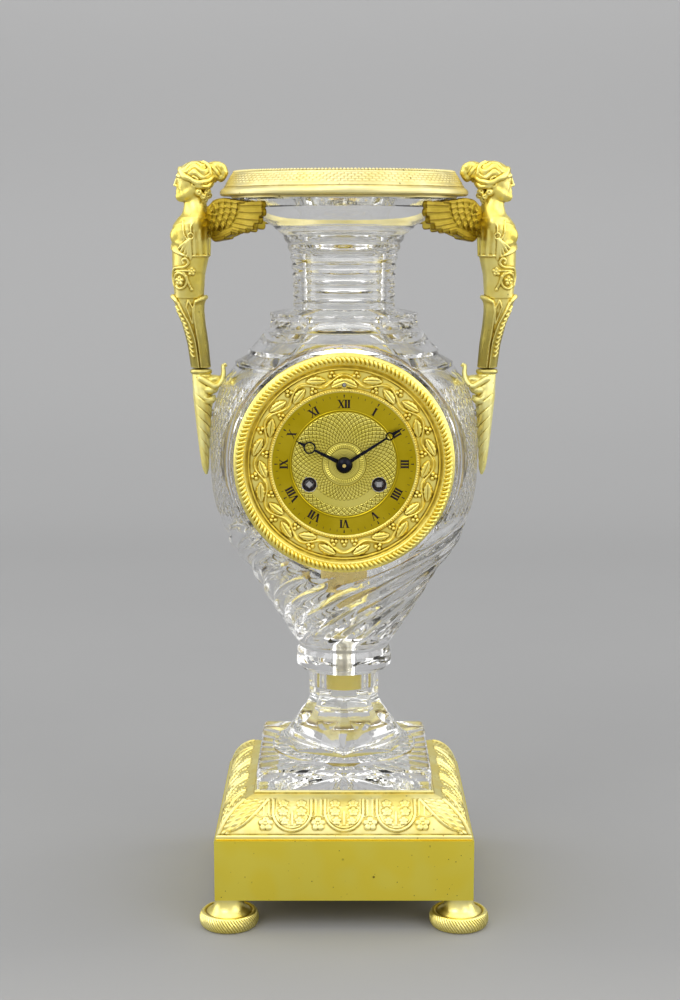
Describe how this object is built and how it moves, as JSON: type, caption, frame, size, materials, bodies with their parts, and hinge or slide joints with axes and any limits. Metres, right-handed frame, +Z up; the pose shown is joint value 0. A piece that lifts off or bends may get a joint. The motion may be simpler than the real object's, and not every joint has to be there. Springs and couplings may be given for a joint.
{
  "type": "mantel clock",
  "caption": "Cut crystal vase clock with gilt bronze mounts, winged figures as handles, a square base and a striking movement behind a gilt dial.",
  "frame": {"origin": "on the table, under the axis of the vase", "axes": "+Z up, the dial faces -Y, +X to the right of someone who reads the dial"},
  "size_m": [0.208, 0.1712, 0.4469],
  "materials": {
    "gilt_bronze": "matte and burnished gilding",
    "crystal": "cut and polished",
    "door_pane": "polished",
    "dial_gilt": "engine turned and gilt",
    "blued_steel": "blued and polished",
    "movement_brass": "satin",
    "steel": "polished",
    "bell_metal": "satin",
    "silk": "matte"
  },
  "bodies": {
    "case": {"feet": "gilt_bronze", "base_box": "gilt_bronze", "base_pan": "gilt_bronze", "base_moulding": "gilt_bronze", "foot_bush": "gilt_bronze", "vase_bolt": "gilt_bronze", "rim_ring": "gilt_bronze", "left_figure": "gilt_bronze", "right_figure": "gilt_bronze", "left_wings": "gilt_bronze", "right_wings": "gilt_bronze", "left_bracket": "gilt_bronze", "right_bracket": "gilt_bronze", "bezel": "gilt_bronze", "back_bezel": "gilt_bronze", "foot_glass": "crystal", "vase_glass": "crystal", "dial_plate": "dial_gilt", "front_plate": "movement_brass", "back_plate": "movement_brass", "plate_pillars": "movement_brass", "case_straps": "movement_brass", "suspension_cock": "movement_brass", "bell_stand": "movement_brass", "tie_rods": "steel", "bracket_bolts": "steel", "pillar_pins": "steel", "case_screws": "steel", "hinge_pin": "steel", "bell": "bell_metal", "suspension_thread": "silk"},
    "minute_work": {"centre_wheel": "movement_brass", "cannon_pinion": "steel", "minute_hand": "blued_steel"},
    "hour_work": {"hour_wheel": "movement_brass", "hour_hand": "blued_steel"},
    "minute_wheel_work": {"minute_wheel": "movement_brass"},
    "intermediate_work": {"intermediate_wheel": "movement_brass"},
    "going_barrel_work": {"going_barrel": "movement_brass", "going_mainspring": "steel"},
    "third_work": {"third_wheel": "movement_brass"},
    "escape_work": {"escape_wheel": "movement_brass"},
    "pin_wheel_work": {"pin_wheel": "movement_brass"},
    "strike_second_work": {"strike_second_wheel": "movement_brass", "count_wheel": "movement_brass"},
    "strike_barrel_work": {"strike_barrel": "movement_brass", "strike_mainspring": "steel"},
    "warning_work": {"warning_wheel": "movement_brass"},
    "fly_work": {"fly": "movement_brass"},
    "going_winding": {"going_arbor": "steel"},
    "strike_winding": {"strike_arbor": "steel"},
    "going_pawl": {"going_click": "steel"},
    "strike_pawl": {"strike_click": "steel"},
    "hammer_work": {"hammer": "steel"},
    "pendulum": {"pendulum_rod": "steel", "pendulum_bob": "movement_brass"},
    "anchor_work": {"anchor": "steel"},
    "regulator": {"regulator_arbor": "steel"},
    "door": {"back_door": "gilt_bronze", "door_glass": "door_pane"}
  },
  "joints": [
    {"name": "minute_turn", "type": "hinge", "parent": "case", "child": "minute_work", "pos_m": [0, -0.0381, 0.274], "axis": [0, 1, 0], "continuous": true},
    {"name": "hour_turn", "type": "hinge", "parent": "case", "child": "hour_work", "pos_m": [0, -0.0576, 0.274], "axis": [0, 1, 0], "continuous": true},
    {"name": "minute_wheel_turn", "type": "hinge", "parent": "case", "child": "minute_wheel_work", "pos_m": [0, -0.0558, 0.286], "axis": [0, 1, 0], "continuous": true},
    {"name": "intermediate_turn", "type": "hinge", "parent": "case", "child": "intermediate_work", "pos_m": [0.01186, -0.0381, 0.28216], "axis": [0, 1, 0], "continuous": true},
    {"name": "going_barrel_turn", "type": "hinge", "parent": "case", "child": "going_barrel_work", "pos_m": [0.02, -0.0381, 0.2622], "axis": [0, 1, 0], "continuous": true},
    {"name": "third_turn", "type": "hinge", "parent": "case", "child": "third_work", "pos_m": [-0.00166, -0.0381, 0.28755], "axis": [0, 1, 0], "continuous": true},
    {"name": "escape_turn", "type": "hinge", "parent": "case", "child": "escape_work", "pos_m": [0, -0.0381, 0.29992], "axis": [0, 1, 0], "continuous": true},
    {"name": "pin_wheel_turn", "type": "hinge", "parent": "case", "child": "pin_wheel_work", "pos_m": [-0.01876, -0.0381, 0.29761], "axis": [0, 1, 0], "continuous": true},
    {"name": "strike_second_turn", "type": "hinge", "parent": "case", "child": "strike_second_work", "pos_m": [-0.01626, -0.0381, 0.28343], "axis": [0, 1, 0], "continuous": true},
    {"name": "strike_barrel_turn", "type": "hinge", "parent": "case", "child": "strike_barrel_work", "pos_m": [-0.02, -0.0381, 0.2622], "axis": [0, 1, 0], "continuous": true},
    {"name": "warning_turn", "type": "hinge", "parent": "case", "child": "warning_work", "pos_m": [-0.01381, -0.0381, 0.30619], "axis": [0, 1, 0], "continuous": true},
    {"name": "fly_turn", "type": "hinge", "parent": "case", "child": "fly_work", "pos_m": [-0.02015, -0.0381, 0.3085], "axis": [0, 1, 0], "continuous": true},
    {"name": "going_wind", "type": "hinge", "parent": "case", "child": "going_winding", "pos_m": [0.02, -0.0381, 0.2622], "axis": [0, 1, 0], "range_deg": [0, 1800]},
    {"name": "strike_wind", "type": "hinge", "parent": "case", "child": "strike_winding", "pos_m": [-0.02, -0.0381, 0.2622], "axis": [0, 1, 0], "range_deg": [0, 1800]},
    {"name": "going_click_lift", "type": "hinge", "parent": "case", "child": "going_pawl", "pos_m": [0.02475, -0.0555, 0.27043], "axis": [0, 1, 0], "range_deg": [0, 15]},
    {"name": "strike_click_lift", "type": "hinge", "parent": "case", "child": "strike_pawl", "pos_m": [-0.01525, -0.0555, 0.27043], "axis": [0, 1, 0], "range_deg": [0, 15]},
    {"name": "hammer_lift", "type": "hinge", "parent": "case", "child": "hammer_work", "pos_m": [-0.033, -0.0381, 0.28], "axis": [0, 1, 0], "range_deg": [-12, 0]},
    {"name": "pendulum_swing", "type": "hinge", "parent": "case", "child": "pendulum", "pos_m": [0, -0.0136, 0.31092], "axis": [0, 1, 0], "range_deg": [-4, 4]},
    {"name": "anchor_rock", "type": "hinge", "parent": "case", "child": "anchor_work", "pos_m": [0, -0.0381, 0.31092], "axis": [0, 1, 0], "range_deg": [-4, 4]},
    {"name": "regulator_turn", "type": "hinge", "parent": "case", "child": "regulator", "pos_m": [0, -0.0136, 0.3194], "axis": [0, 1, 0], "range_deg": [-720, 720]},
    {"name": "door_open", "type": "hinge", "parent": "case", "child": "door", "pos_m": [0.062, 0.0646, 0.274], "axis": [0, 0, -1], "range_deg": [0, 110]}
  ],
  "couplings": [
    {"joint": "hour_turn", "follows": "minute_turn", "ratio": 0.083333},
    {"joint": "minute_wheel_turn", "follows": "minute_turn", "ratio": -0.33333},
    {"joint": "intermediate_turn", "follows": "minute_turn", "ratio": -0.14286},
    {"joint": "going_barrel_turn", "follows": "minute_turn", "ratio": 0.02381},
    {"joint": "third_turn", "follows": "minute_turn", "ratio": -12},
    {"joint": "escape_turn", "follows": "minute_turn", "ratio": 180},
    {"joint": "strike_second_turn", "follows": "pin_wheel_turn", "ratio": -0.14286},
    {"joint": "strike_barrel_turn", "follows": "pin_wheel_turn", "ratio": 0.02381},
    {"joint": "warning_turn", "follows": "pin_wheel_turn", "ratio": -10},
    {"joint": "fly_turn", "follows": "pin_wheel_turn", "ratio": 80},
    {"joint": "anchor_rock", "follows": "pendulum_swing", "ratio": 1}
  ]
}
